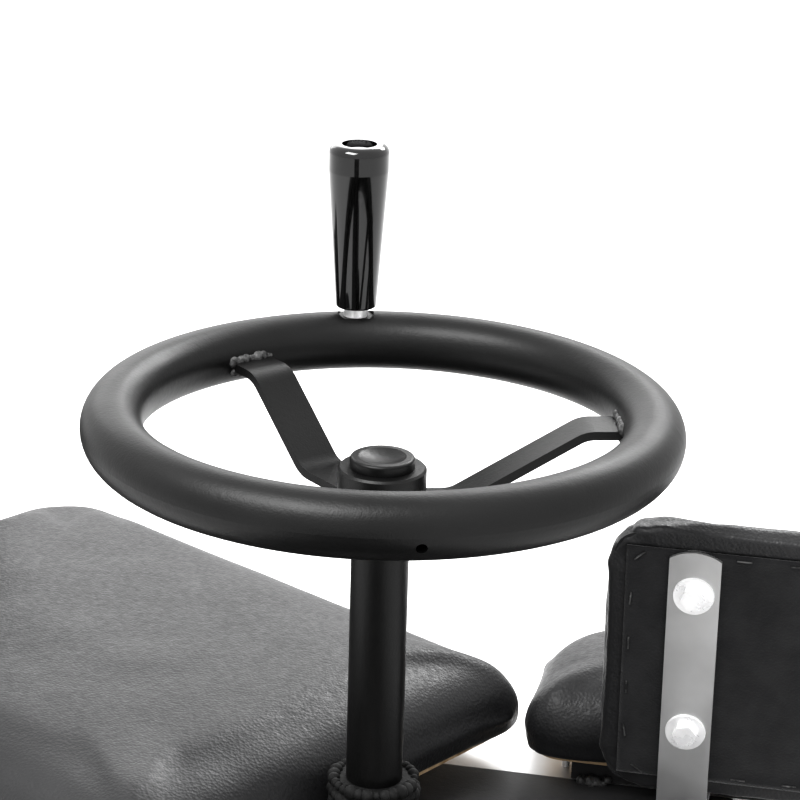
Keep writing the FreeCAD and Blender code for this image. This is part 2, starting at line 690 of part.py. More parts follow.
def build():
    nodes = {
        "base_plate": base_plate(),
        "leg_caps": leg_caps(),
        "leg_feet": leg_feet(),
        "pillar": pillar(),
        "pillar_cap": pillar_cap(),
        "spindle": spindle(),
        "bearing_spacer": bearing_spacer(),
        "lower_inner_race": inner_race(LOWER_BEARING_Z),
        "lower_outer_race": outer_race(LOWER_BEARING_Z),
        "upper_inner_race": inner_race(UPPER_BEARING_Z),
        "upper_outer_race": outer_race(UPPER_BEARING_Z),
        "bearing_balls": bearing_balls(),
        "hub_collar": hub_collar(),
        "hub_cap": hub_cap(),
        "rim": rim(),
        "spoke_welds": spoke_welds(),
        "grip_pin": grip_pin(),
        "grip": grip(),
        "grip_sleeve": grip_sleeve(),
        "grip_nut": grip_nut(),
        "rotor_hub": rotor_hub(),
        "hub_ribs": hub_ribs(),
        "deck_plate": deck_plate(),
        "post": post(),
        "post_bush": post_bush(),
        "post_boot": post_boot(),
        "rails": rails(),
        "rail_brackets": rail_brackets(),
        "bearer": bearer(),
        "bearer_weld": bearer_weld(),
        "seat_stud": seat_stud(),
        "arms": arms(),
    }
    for k in range(LEG_COUNT):
        nodes[f"base_leg_{k + 1}"] = base_leg(k)
    for k, (angle, offset) in enumerate(zip(SPOKE_ANGLES, SPOKE_OFFSETS)):
        nodes[f"spoke_{k + 1}"] = spoke(angle, offset)
    for seat, depth in (("a", LONG_PAD), ("b", SHORT_PAD), ("c", LONG_PAD)):
        nodes.update(seat_nodes(seat, depth))
    return nodes


def main():
    os.makedirs("parts", exist_ok=True)
    for name, shape in build().items():
        shape.exportStep(f"parts/{name}.step")


main()
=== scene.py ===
"""Hand-turned merry-go-round: finishes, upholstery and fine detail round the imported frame."""
import json
import math

import bmesh
import bpy
from mathutils import Matrix, Vector, noise


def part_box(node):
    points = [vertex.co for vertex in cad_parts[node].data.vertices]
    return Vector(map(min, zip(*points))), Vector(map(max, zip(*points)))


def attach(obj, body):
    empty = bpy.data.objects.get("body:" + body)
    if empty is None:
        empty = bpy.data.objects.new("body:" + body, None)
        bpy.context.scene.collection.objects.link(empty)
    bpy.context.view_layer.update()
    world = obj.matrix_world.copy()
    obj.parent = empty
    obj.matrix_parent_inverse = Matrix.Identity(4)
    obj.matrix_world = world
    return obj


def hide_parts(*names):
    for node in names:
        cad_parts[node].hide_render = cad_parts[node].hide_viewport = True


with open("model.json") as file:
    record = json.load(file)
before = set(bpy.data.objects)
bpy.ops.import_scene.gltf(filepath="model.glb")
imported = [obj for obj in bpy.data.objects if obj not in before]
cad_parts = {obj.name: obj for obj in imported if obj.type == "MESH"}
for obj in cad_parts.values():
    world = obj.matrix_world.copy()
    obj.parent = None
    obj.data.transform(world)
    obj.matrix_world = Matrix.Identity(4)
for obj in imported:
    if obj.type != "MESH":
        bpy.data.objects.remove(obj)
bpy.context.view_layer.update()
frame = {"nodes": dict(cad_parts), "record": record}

SEATS = ("a", "b", "c")
GEOMETRY_SOCKET = "NodeSocketGeometry"

# upholstery, in metres
BACK_GAP = 0.032            # back's rear face to the seat pad
BACK_FOOT = 0.026           # back's lower edge above the deck
BACK_SIZE = (0.246, 0.186)
BACK_THICK = 0.026
BACK_LEAN = math.radians(7)
STRAP_X = 0.068
STRAP_THICK = 0.005
BOLT_RISES = (0.050, 0.143)
BACK_CORNER = 0.038
BACK_WRAP = 0.0012          # vinyl behind the back board's rear face
BACK_INSET = (0.003, 0.002)
BACK_SHOULDER = 0.013
BACK_FOOT_ROUND = 0.004
BACK_CELL = 0.0055
BACK_CROWN = 0.005
BACK_PULL = 0.0025
BACK_PUFF = 0.005
BACK_FOLD_REACH = 0.034
BACK_FOLD_DEPTH = 0.0034
BACK_EDGE = 0.86            # share of the half size past which the wrapped edge is pulled
BACK_RIPPLE = 0.0013
PAD_INSET = 0.001           # skin inside the cushion's box, at its sides
PAD_SINK = 0.0012           # and at its top and bottom
PAD_SIDE_ROUND = 0.036      # how far in the pad's shoulder starts
PAD_TOP_ROUND = 0.032
PAD_FOOT_ROUND = 0.006
# Plan corner radii of each seat pad: at its front, at its rear, and of all four at its foot.
PAD_CORNERS = {"a": (0.024, 0.060, 0.024), "b": (0.066, 0.024, 0.024), "c": (0.024, 0.060, 0.024)}
PAD_CROWN = 0.005
PAD_PULL = 0.003            # how far the sides come in between the corners
PAD_TUCK = 0.0015           # how far the skin comes in round the board
PAD_PUFF = 0.004            # most that the cloth simulation may move a point
PAD_RIPPLE = 0.0008
PAD_CELL = 0.0075
BOARD_LIP = 0.012           # skin below this height over its board isn't swollen
PLEAT_REACH = 0.055
PLEAT_HEIGHTS = (0.010, 0.036)
PLEAT_DEPTH = 0.0021
CLOTH_INSET = 0.015         # dust cloth's edge inside the back's outline
CLOTH_THICK = 0.0006
BACK_STAPLE_INSET = 0.0185
STAPLE_LINE_CORNER = 0.030
UNDERSIDE_STAPLE_INSET = 0.030
SMALLEST_CORNER = 0.004
CORNER_FOOT_HEIGHT = 0.010  # below this a pad's corners have their foot radius
PRESSURE = 4.0
INFLATE_FRAMES = 20

# welds, boot and fasteners
WELD_LENGTH = 0.026
WELD_LIFTS = (0.0006, -0.0056)  # upper and lower bead, from the spoke's top face
BOOT_ROWS = 9
FASTENER_TAPER = 0.97       # top radius of a washer or a head, as a share of its bottom one

# camera, its place taken from the wheel's middle and turned with it
CAMERA_PLACE = (0.0088, -1.3383, 0.4853)
CAMERA_TURN, CAMERA_DROP, CAMERA_ROLL = 11.0, 19.4, -1.65
CAMERA_LENS = 115.5

# floor and lights: each light's name, place, target, size and power in watts
FLOOR_SIZE = 30.0
FLOOR_DROP = 0.0005
LIGHTS = (("key", (-0.7, -0.9, 2.4), (0, 0, 0.5), (1.3, 0.9), 40),
          ("back", (0.5, 2.2, 2.0), (0, 0, 0.5), (1.4, 0.6), 26),
          ("sheen", (-0.95, 1.9, 1.35), (-0.25, 0.1, 0.39), (1.6, 1.0), 7))


# ---- materials ----------------------------------------------------------------------------------
NOISE_ROUGHNESS = 0.55
TINT_SPAN = (0.35, 0.65)        # noise values that give the dark and the light tint
ROUGHNESS_SPAN = (0.3, 0.7)     # noise values that give the low and the high roughness


def new_material(name, colour, roughness, metallic=0.0, **sockets):
    mat = bpy.data.materials.new(name)
    mat.use_nodes = True
    shader = mat.node_tree.nodes["Principled BSDF"]
    shader.inputs["Base Color"].default_value = (*colour, 1)
    shader.inputs["Roughness"].default_value = roughness
    shader.inputs["Metallic"].default_value = metallic
    for key, value in sockets.items():
        shader.inputs[key.replace("_", " ")].default_value = value
    return mat, mat.node_tree.nodes, mat.node_tree.links, shader


def texture(nodes, links, kind, scale, detail=3.0, stretch=None):
    """A noise or cell texture on Object coordinates; returns its value output."""
    coords = nodes.new("ShaderNodeTexCoord")
    source = coords.outputs["Object"]
    if stretch:
        mapping = nodes.new("ShaderNodeMapping")
        mapping.inputs["Scale"].default_value = stretch
        links.new(source, mapping.inputs["Vector"])
        source = mapping.outputs["Vector"]
    if kind == "cells":
        tex = nodes.new("ShaderNodeTexVoronoi")
        tex.inputs["Scale"].default_value = scale
        links.new(source, tex.inputs["Vector"])
        return tex.outputs["Distance"]
    tex = nodes.new("ShaderNodeTexNoise")
    tex.inputs["Scale"].default_value = scale
    tex.inputs["Detail"].default_value = detail
    tex.inputs["Roughness"].default_value = NOISE_ROUGHNESS
    links.new(source, tex.inputs["Vector"])
    return tex.outputs["Fac"]


def tint(nodes, links, shader, value, dark, light):
    ramp = nodes.new("ShaderNodeValToRGB")
    for stop, position, colour in zip(ramp.color_ramp.elements, TINT_SPAN, (dark, light)):
        stop.position = position
        stop.color = (*colour, 1)
    links.new(value, ramp.inputs["Fac"])
    links.new(ramp.outputs["Color"], shader.inputs["Base Color"])


def vary_roughness(nodes, links, shader, value, low, high):
    span = nodes.new("ShaderNodeMapRange")
    span.inputs["From Min"].default_value = ROUGHNESS_SPAN[0]
    span.inputs["From Max"].default_value = ROUGHNESS_SPAN[1]
    span.inputs["To Min"].default_value = low
    span.inputs["To Max"].default_value = high
    links.new(value, span.inputs["Value"])
    links.new(span.outputs["Result"], shader.inputs["Roughness"])


def bumps(nodes, links, shader, layers):
    """layers: (value output, strength, height in metres), the coarsest first."""
    normal = None
    for value, strength, height in layers:
        bump = nodes.new("ShaderNodeBump")
        bump.inputs["Strength"].default_value = strength
        bump.inputs["Distance"].default_value = height
        links.new(value, bump.inputs["Height"])
        if normal:
            links.new(normal, bump.inputs["Normal"])
        normal = bump.outputs["Normal"]
    links.new(normal, shader.inputs["Normal"])


def powder_coat(name, dark, light, roughness):
    mat, nodes, links, shader = new_material(name, dark, roughness, Specular_IOR_Level=0.4)
    patches = texture(nodes, links, "noise", 9.0, 4)
    grain = texture(nodes, links, "noise", 900.0, 2)
    orange_peel = texture(nodes, links, "noise", 260.0, 2)
    tint(nodes, links, shader, patches, dark, light)
    vary_roughness(nodes, links, shader, patches, roughness - 0.05, roughness + 0.07)
    bumps(nodes, links, shader, [(orange_peel, 0.18, 0.0006), (grain, 0.30, 0.0003)])
    return mat


def vinyl_grain(name):
    mat, nodes, links, shader = new_material(name, (0.02, 0.02, 0.021), 0.42, Specular_IOR_Level=0.5,
                                             Sheen_Weight=0.12, Sheen_Roughness=0.4)
    patches = texture(nodes, links, "noise", 7.0, 3)
    pebbles = texture(nodes, links, "cells", 520.0)
    creases = texture(nodes, links, "noise", 240.0, 5)
    pores = texture(nodes, links, "noise", 1500.0, 2)
    tint(nodes, links, shader, patches, (0.016, 0.016, 0.017), (0.027, 0.027, 0.028))
    vary_roughness(nodes, links, shader, creases, 0.36, 0.52)
    bumps(nodes, links, shader, [(creases, 0.25, 0.0006), (pebbles, 0.35, 0.0005), (pores, 0.2, 0.0002)])
    return mat


def felt_cloth(name):
    mat, nodes, links, shader = new_material(name, (0.008, 0.008, 0.009), 0.9, Sheen_Weight=0.3)
    fibres = texture(nodes, links, "noise", 700.0, 6)
    mottle = texture(nodes, links, "noise", 60.0, 4)
    tint(nodes, links, shader, mottle, (0.006, 0.006, 0.007), (0.014, 0.014, 0.015))
    bumps(nodes, links, shader, [(mottle, 0.3, 0.001), (fibres, 0.6, 0.0006)])
    return mat


def brushed_bar(name):
    mat, nodes, links, shader = new_material(name, (0.55, 0.55, 0.55), 0.42, metallic=0.85)
    brushing = texture(nodes, links, "noise", 60.0, 6, stretch=(30, 30, 1))
    smudges = texture(nodes, links, "noise", 14.0, 4)
    tint(nodes, links, shader, smudges, (0.46, 0.46, 0.46), (0.58, 0.58, 0.58))
    vary_roughness(nodes, links, shader, smudges, 0.38, 0.52)
    bumps(nodes, links, shader, [(brushing, 0.12, 0.0003)])
    return mat


def bright_zinc(name):
    mat, nodes, links, shader = new_material(name, (0.9, 0.9, 0.9), 0.3, metallic=0.35)
    smudges = texture(nodes, links, "noise", 90.0, 4)
    scratches = texture(nodes, links, "noise", 700.0, 3)
    tint(nodes, links, shader, smudges, (0.82, 0.82, 0.83), (0.93, 0.93, 0.93))
    vary_roughness(nodes, links, shader, smudges, 0.22, 0.36)
    bumps(nodes, links, shader, [(scratches, 0.1, 0.0002)])
    return mat


def grip_gloss(name):
    mat, nodes, links, shader = new_material(name, (0.004, 0.004, 0.004), 0.09, Coat_Weight=0.6,
                                             Coat_Roughness=0.03)
    ripple = texture(nodes, links, "noise", 35.0, 2)
    scuffs = texture(nodes, links, "noise", 400.0, 3)
    vary_roughness(nodes, links, shader, scuffs, 0.06, 0.14)
    bumps(nodes, links, shader, [(ripple, 0.08, 0.0008)])
    return mat


def soft_rubber(name):
    mat, nodes, links, shader = new_material(name, (0.012, 0.012, 0.012), 0.75)
    dust = texture(nodes, links, "noise", 120.0, 5)
    pits = texture(nodes, links, "noise", 500.0, 4)
    tint(nodes, links, shader, dust, (0.008, 0.008, 0.008), (0.025, 0.025, 0.025))
    bumps(nodes, links, shader, [(dust, 0.5, 0.001), (pits, 0.4, 0.0006)])
    return mat


def plywood_grain(name):
    mat, nodes, links, shader = new_material(name, (0.3, 0.2, 0.11), 0.7)
    rings = texture(nodes, links, "noise", 18.0, 8, stretch=(1, 12, 1))
    pores = texture(nodes, links, "noise", 500.0, 3)
    tint(nodes, links, shader, rings, (0.34, 0.24, 0.14), (0.55, 0.42, 0.28))
    bumps(nodes, links, shader, [(rings, 0.3, 0.0005), (pores, 0.2, 0.0003)])
    return mat


def turned_bronze(name):
    mat, nodes, links, shader = new_material(name, (0.5, 0.33, 0.16), 0.35, metallic=1.0)
    rings = texture(nodes, links, "noise", 50.0, 4, stretch=(1, 1, 30))
    tint(nodes, links, shader, rings, (0.42, 0.27, 0.13), (0.58, 0.4, 0.2))
    bumps(nodes, links, shader, [(rings, 0.1, 0.0003)])
    return mat


def ground_steel(name):
    mat, nodes, links, shader = new_material(name, (0.55, 0.55, 0.56), 0.25, metallic=1.0)
    grinding = texture(nodes, links, "noise", 80.0, 4, stretch=(1, 1, 20))
    tint(nodes, links, shader, grinding, (0.5, 0.5, 0.51), (0.62, 0.62, 0.62))
    bumps(nodes, links, shader, [(grinding, 0.1, 0.0002)])
    return mat


def dark_wire(name):
    mat, nodes, links, shader = new_material(name, (0.09, 0.09, 0.09), 0.35, metallic=0.8)
    wear = texture(nodes, links, "noise", 200.0, 3)
    tint(nodes, links, shader, wear, (0.04, 0.04, 0.04), (0.2, 0.2, 0.2))
    bumps(nodes, links, shader, [(wear, 0.1, 0.0002)])
    return mat


def weld_scale(name):
    mat, nodes, links, shader = new_material(name, (0.02, 0.02, 0.02), 0.45)
    lumps = texture(nodes, links, "noise", 420.0, 4)
    tint(nodes, links, shader, lumps, (0.02, 0.02, 0.02), (0.12, 0.12, 0.12))
    bumps(nodes, links, shader, [(lumps, 0.6, 0.0009)])
    return mat


FINISHES = {
    "satin_black": powder_coat("satin_black", (0.006, 0.006, 0.006), (0.011, 0.011, 0.011), 0.40),
    "dark_grey": powder_coat("dark_grey", (0.040, 0.040, 0.041), (0.058, 0.058, 0.059), 0.55),
    "light_bar": brushed_bar("light_bar"),
    "zinc": bright_zinc("zinc"),
    "vinyl": vinyl_grain("vinyl"),
    "plywood": plywood_grain("plywood"),
    "rubber": soft_rubber("rubber"),
    "grip_black": grip_gloss("grip_black"),
    "bronze": turned_bronze("bronze"),
    "bright_steel": ground_steel("bright_steel"),
}
BACK_CLOTH = felt_cloth("back_cloth")
WELD = weld_scale("weld_scale")
STAPLE_WIRE = dark_wire("staple_wire")


def finish_nodes():
    slots = {part["node"]: part["material_slot"] for part in frame["record"]["subparts"]}
    for name, node in frame["nodes"].items():
        node.data.materials.clear()
        node.data.materials.append(BACK_CLOTH if name.endswith("_back_board") else FINISHES[slots[name]])


# ---- mesh helpers -------------------------------------------------------------------------------
def mesh_object(name, mesh, material, smooth=True):
    obj = bpy.data.objects.new(name, mesh)
    bpy.context.scene.collection.objects.link(obj)
    mesh.materials.clear()
    mesh.materials.append(material)
    for face in mesh.polygons:
        face.use_smooth = smooth
    return obj


def add_piece(obj, body, replaced=()):
    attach(obj, body)
    if replaced:
        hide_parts(*replaced)


def smoothstep(low, high, value):
    t = min(max((value - low) / (high - low), 0.0), 1.0)
    return t * t * (3 - 2 * t)


def height_levels(half_z, up, foot):
    """Heights of the rows of a rounded solid's side, closer together where it curves."""
    turns = [math.radians(90 * k / 8) for k in range(9)]
    low = [-half_z + foot - foot * math.cos(t) for t in turns[::2]]
    high = [half_z - up + up * math.sin(t) for t in turns]
    span = high[0] - low[-1]
    between = [low[-1] + span * k / 3 for k in (1, 2)] if span > 0.001 else []
    return low + between + high


def rounded_solid(half, shoulder, foot, plan_corner, cell):
    """A closed quad mesh: a block rounded in plan, over its top by shoulder (in, up) and at its foot."""
    bm = bmesh.new()
    levels = height_levels(half[2], shoulder[1], foot)
    counts = [max(4, round(2 * h / cell)) for h in half[:2]] + [len(levels) - 1]
    index = {}

    def vertex(i, j, k):
        key = (i, j, k)
        if key not in index:
            p = [half[a] * (2 * key[a] / counts[a] - 1) for a in (0, 1)] + [levels[k]]
            index[key] = bm.verts.new(round_point(p, half, shoulder, foot, plan_corner))
        return index[key]

    for axis in range(3):
        u, v = [a for a in range(3) if a != axis]
        for end in (0, counts[axis]):
            for i in range(counts[u]):
                for j in range(counts[v]):
                    corners = []
                    for du, dv in ((0, 0), (1, 0), (1, 1), (0, 1)):
                        key = [0, 0, 0]
                        key[axis], key[u], key[v] = end, i + du, j + dv
                        corners.append(vertex(*key))
                    bm.faces.new(corners)
    bmesh.ops.recalc_face_normals(bm, faces=bm.faces[:])
    mesh = bpy.data.meshes.new("rounded")
    bm.to_mesh(mesh)
    bm.free()
    return mesh


def quarter(share):
    """How far a quarter circle has come in at a share of its height."""
    return 1 - math.sqrt(max(0.0, 1 - min(max(share, 0.0), 1.0) ** 2))


def round_point(p, half, shoulder, foot, plan_corner):
    """Moves a point of a block's surface onto the rounded block."""
    inset = shoulder[0] * quarter((p[2] - half[2] + shoulder[1]) / shoulder[1])
    inset += foot * quarter((-half[2] + foot - p[2]) / foot)
    limit = (half[0] - inset, half[1] - inset)
    x = p[0] * limit[0] / half[0]
    y = p[1] * limit[1] / half[1]
    wide = plan_corner[0] if p[1] > 0 else plan_corner[1]
    share = smoothstep(-half[2] + CORNER_FOOT_HEIGHT, half[2] * 0.3, p[2])
    corner = max(plan_corner[2] + (wide - plan_corner[2]) * share - inset, SMALLEST_CORNER)
    cx, cy = limit[0] - corner, limit[1] - corner
    dx, dy = abs(x) - cx, abs(y) - cy
    if dx > 0 and dy > 0:
        square = max(dx, dy)
        angle = math.atan2(dy, dx)
        x = math.copysign(cx + square * math.cos(angle), x)
        y = math.copysign(cy + square * math.sin(angle), y)
    return Vector((x, y, p[2]))


def crown_and_pull(v, half, crown, power, pull):
    """Raises a block's top into a low hill and draws its sides in between the corners."""
    across, along = v.co.x / half[0], v.co.y / half[1]
    hill = max(0.0, 1 - across ** 2) * max(0.0, 1 - along ** 2)
    if v.co.z > 0:
        v.co.z += crown * hill ** power * (v.co.z / half[2])
    v.co.x -= math.copysign(pull * max(0.0, 1 - along ** 2) * abs(across) ** 3, v.co.x)
    v.co.y -= math.copysign(pull * max(0.0, 1 - across ** 2) * abs(along) ** 3, v.co.y)


def inflate(mesh, cap, hold_below):
    """Swells a closed skin by cloth simulation; points below hold_below stay, none moves over cap."""
    rest = [v.co.copy() for v in mesh.vertices]
    obj = bpy.data.objects.new("inflating", mesh)
    scene = bpy.context.scene
    scene.collection.objects.link(obj)
    held = obj.vertex_groups.new(name="held")
    held.add([i for i, p in enumerate(rest) if p.z < hold_below], 1.0, "REPLACE")
    cloth = obj.modifiers.new("cloth", "CLOTH")
    cloth.settings.use_pressure = True
    cloth.settings.uniform_pressure_force = PRESSURE
    cloth.settings.effector_weights.gravity = 0
    cloth.settings.quality = 4
    cloth.settings.vertex_group_mass = "held"
    cloth.collision_settings.use_collision = False
    cloth.point_cache.frame_start = 1
    cloth.point_cache.frame_end = INFLATE_FRAMES
    for step in range(1, INFLATE_FRAMES + 1):
        scene.frame_set(step)
    graph = bpy.context.evaluated_depsgraph_get()
    swollen = bpy.data.meshes.new_from_object(obj.evaluated_get(graph))
    for v, start in zip(swollen.vertices, rest):
        move = v.co - start
        if move.length > cap:
            v.co = start + move * (cap / move.length)
    bpy.data.objects.remove(obj)
    scene.frame_set(1)
    return swollen


def subdivided(name, mesh, levels, material):
    obj = mesh_object(name, mesh, material)
    mod = obj.modifiers.new("smooth", "SUBSURF")
    mod.levels = mod.render_levels = levels
    graph = bpy.context.evaluated_depsgraph_get()
    done = bpy.data.meshes.new_from_object(obj.evaluated_get(graph))
    bpy.data.objects.remove(obj)
    return mesh_object(name, done, material)


# ---- repeated detail by Geometry Nodes ----------------------------------------------------------
def node_tree(name, inputs):
    tree = bpy.data.node_groups.new(name, "GeometryNodeTree")
    tree.interface.new_socket("Geometry", in_out="INPUT", socket_type=GEOMETRY_SOCKET)
    for label, kind, value in inputs:
        socket = tree.interface.new_socket(label, in_out="INPUT", socket_type=kind)
        if value is not None:
            socket.default_value = value
    tree.interface.new_socket("Geometry", in_out="OUTPUT", socket_type=GEOMETRY_SOCKET)
    start = tree.nodes.new("NodeGroupInput")
    end = tree.nodes.new("NodeGroupOutput")
    return tree, start, end


def close_tree(tree, start, end, instances):
    real = tree.nodes.new("GeometryNodeRealizeInstances")
    paint = tree.nodes.new("GeometryNodeSetMaterial")
    tree.links.new(instances, real.inputs["Geometry"])
    tree.links.new(real.outputs["Geometry"], paint.inputs["Geometry"])
    tree.links.new(start.outputs["Material"], paint.inputs["Material"])
    tree.links.new(paint.outputs["Geometry"], end.inputs["Geometry"])


def points_along(tree, start):
    to_curve = tree.nodes.new("GeometryNodeMeshToCurve")
    resample = tree.nodes.new("GeometryNodeResampleCurve")
    resample.mode = "LENGTH"
    tree.links.new(start.outputs["Geometry"], to_curve.inputs["Mesh"])
    tree.links.new(to_curve.outputs["Curve"], resample.inputs["Curve"])
    tree.links.new(start.outputs["Spacing"], resample.inputs["Length"])
    return resample.outputs["Curve"]


def staple_tree():
    """Short flat wires laid along a line, one each Spacing."""
    tree, start, end = node_tree("staple_row", [
        ("Spacing", "NodeSocketFloat", 0.02), ("Crown", "NodeSocketFloat", 0.009),
        ("Wire", "NodeSocketFloat", 0.0011), ("Material", "NodeSocketMaterial", None)])
    points = points_along(tree, start)
    size = tree.nodes.new("ShaderNodeCombineXYZ")
    wire = tree.nodes.new("GeometryNodeMeshCube")
    tangent = tree.nodes.new("GeometryNodeInputTangent")
    aim = tree.nodes.new("FunctionNodeAlignEulerToVector")
    aim.axis = "X"
    place = tree.nodes.new("GeometryNodeInstanceOnPoints")
    tree.links.new(start.outputs["Crown"], size.inputs["X"])
    tree.links.new(start.outputs["Wire"], size.inputs["Y"])
    tree.links.new(start.outputs["Wire"], size.inputs["Z"])
    tree.links.new(size.outputs["Vector"], wire.inputs["Size"])
    tree.links.new(tangent.outputs["Tangent"], aim.inputs["Vector"])
    tree.links.new(points, place.inputs["Points"])
    tree.links.new(wire.outputs["Mesh"], place.inputs["Instance"])
    tree.links.new(aim.outputs["Rotation"], place.inputs["Rotation"])
    close_tree(tree, start, end, place.outputs["Instances"])
    return tree


def bead_tree():
    """Overlapping lumps of weld along a line, their sizes uneven."""
    tree, start, end = node_tree("weld_bead", [
        ("Spacing", "NodeSocketFloat", 0.002), ("Smallest", "NodeSocketFloat", 0.8),
        ("Largest", "NodeSocketFloat", 1.3), ("Radius", "NodeSocketFloat", 0.003),
        ("Seed", "NodeSocketInt", 3), ("Material", "NodeSocketMaterial", None)])
    points = points_along(tree, start)
    lump = tree.nodes.new("GeometryNodeMeshIcoSphere")
    lump.inputs["Subdivisions"].default_value = 3
    spread = tree.nodes.new("FunctionNodeRandomValue")
    spread.data_type = "FLOAT"
    place = tree.nodes.new("GeometryNodeInstanceOnPoints")
    tree.links.new(start.outputs["Radius"], lump.inputs["Radius"])
    tree.links.new(start.outputs["Smallest"], spread.inputs[2])
    tree.links.new(start.outputs["Largest"], spread.inputs[3])
    tree.links.new(start.outputs["Seed"], spread.inputs["Seed"])
    tree.links.new(points, place.inputs["Points"])
    tree.links.new(lump.outputs["Mesh"], place.inputs["Instance"])
    tree.links.new(spread.outputs[1], place.inputs["Scale"])
    close_tree(tree, start, end, place.outputs["Instances"])
    return tree


def fastener_tree():
    """A washer and a hexagon head on each point, their axes along Z, the heads turned unevenly."""
    tree, start, end = node_tree("bolt_set", [
        ("Washer", "NodeSocketFloat", 0.012), ("Washer Thickness", "NodeSocketFloat", 0.0016),
        ("Head", "NodeSocketFloat", 0.0075), ("Head Height", "NodeSocketFloat", 0.0046),
        ("Turn", "NodeSocketVector", (0, 0, 1.05)), ("Seed", "NodeSocketInt", 4),
        ("Material", "NodeSocketMaterial", None)])
    parts = []
    for label, height, sides, base in (("Washer", "Washer Thickness", 48, None),
                                       ("Head", "Head Height", 6, "Washer Thickness")):
        shape = tree.nodes.new("GeometryNodeMeshCone")
        shape.inputs["Vertices"].default_value = sides
        rise = tree.nodes.new("ShaderNodeCombineXYZ")
        move = tree.nodes.new("GeometryNodeTransform")
        place = tree.nodes.new("GeometryNodeInstanceOnPoints")
        chamfer = tree.nodes.new("ShaderNodeMath")
        chamfer.operation = "MULTIPLY"
        chamfer.inputs[1].default_value = FASTENER_TAPER
        tree.links.new(start.outputs[label], shape.inputs["Radius Bottom"])
        tree.links.new(start.outputs[label], chamfer.inputs[0])
        tree.links.new(chamfer.outputs["Value"], shape.inputs["Radius Top"])
        tree.links.new(start.outputs[height], shape.inputs["Depth"])
        if base:
            tree.links.new(start.outputs[base], rise.inputs["Z"])
            spin = tree.nodes.new("FunctionNodeRandomValue")
            spin.data_type = "FLOAT_VECTOR"
            tree.links.new(start.outputs["Turn"], spin.inputs["Max"])
            tree.links.new(start.outputs["Seed"], spin.inputs["Seed"])
            tree.links.new(spin.outputs["Value"], place.inputs["Rotation"])
        tree.links.new(rise.outputs["Vector"], move.inputs["Translation"])
        tree.links.new(shape.outputs["Mesh"], move.inputs["Geometry"])
        tree.links.new(start.outputs["Geometry"], place.inputs["Points"])
        tree.links.new(move.outputs["Geometry"], place.inputs["Instance"])
        parts.append(place.outputs["Instances"])
    join = tree.nodes.new("GeometryNodeJoinGeometry")
    for part in parts:
        tree.links.new(part, join.inputs["Geometry"])
    close_tree(tree, start, end, join.outputs["Geometry"])
    return tree


def grown(name, tree, paths, inputs, material, smooth=True):
    """Runs a tree on polylines and returns the plain mesh that it makes."""
    verts, edges = [], []
    for path, closed in paths:
        base = len(verts)
        verts += [tuple(p) for p in path]
        count = len(path)
        edges += [(base + i, base + (i + 1) % count) for i in range(count if closed else count - 1)]
    mesh = bpy.data.meshes.new(name)
    mesh.from_pydata(verts, edges, [])
    obj = bpy.data.objects.new(name, mesh)
    bpy.context.scene.collection.objects.link(obj)
    mod = obj.modifiers.new("grow", "NODES")
    mod.node_group = tree
    sockets = {item.name: item.identifier for item in tree.interface.items_tree if item.in_out == "INPUT"}
    for label, value in {**inputs, "Material": material}.items():
        mod[sockets[label]] = value
    graph = bpy.context.evaluated_depsgraph_get()
    done = bpy.data.meshes.new_from_object(obj.evaluated_get(graph))
    bpy.data.objects.remove(obj)
    return mesh_object(name, done, material, smooth)


STAPLES = staple_tree()
BEADS = bead_tree()
FASTENERS = fastener_tree()


# ---- seats --------------------------------------------------------------------------------------
def middle(node):
    low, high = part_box(node)
    return (Vector(low) + Vector(high)) / 2


def seat_place(seat):
    """Matrix from the seat's own axes (x across, y the way the rider faces, z up from the deck)."""
    pad, back = middle(f"seat_{seat}_cushion"), middle(f"seat_{seat}_back_pad")
    facing = Vector((pad.x - back.x, pad.y - back.y, 0)).normalized()
    across = Vector((facing.y, -facing.x, 0))
    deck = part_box("deck_plate")[1][2]
    place = Matrix.Identity(4)
    for row in range(3):
        place[row][0], place[row][1], place[row][2] = across[row], facing[row], (0, 0, 1)[row]
    place.translation = Vector((pad.x, pad.y, deck))
    return place


def pad_size(seat):
    """Width, depth, lower and upper height of the seat pad; A is C's twin, turned."""
    low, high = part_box("seat_b_cushion" if seat == "b" else "seat_c_cushion")
    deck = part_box("deck_plate")[1][2]
    return high[0] - low[0], high[1] - low[1], low[2] - deck, high[2] - deck


def seat_pad(seat):
    width, depth, foot, top = pad_size(seat)
    half = (width / 2 - PAD_INSET, depth / 2 - PAD_INSET, (top - foot) / 2 - PAD_SINK)
    mesh = rounded_solid(half, (PAD_SIDE_ROUND, PAD_TOP_ROUND), PAD_FOOT_ROUND, PAD_CORNERS[seat], PAD_CELL)
    for v in mesh.vertices:
        shape_pad_point(v, half)
    mesh = inflate(mesh, PAD_PUFF, -half[2] + BOARD_LIP)
    for v in mesh.vertices:
        pleat_pad_point(v, half, seat)
    lift = (top + foot) / 2 + PAD_SINK
    mesh.transform(seat_place(seat) @ Matrix.Translation((0, 0, lift)))
    pad = subdivided(f"seat_{seat}_upholstery", mesh, 1, FINISHES["vinyl"])
    add_piece(pad, "rotor", (f"seat_{seat}_cushion",))


def shape_pad_point(v, half):
    """Crowns the top, pulls the sides in between corners and tucks the skin round the board."""
    across, along = v.co.x / half[0], v.co.y / half[1]
    crown_and_pull(v, half, PAD_CROWN, 0.6, PAD_PULL)
    height = v.co.z + half[2]
    tuck = PAD_TUCK * (1 - smoothstep(BOARD_LIP * 0.5, BOARD_LIP * 1.4, height))
    v.co.x -= math.copysign(min(tuck, abs(v.co.x)) * abs(across) ** 4, v.co.x)
    v.co.y -= math.copysign(min(tuck, abs(v.co.y)) * abs(along) ** 4, v.co.y)


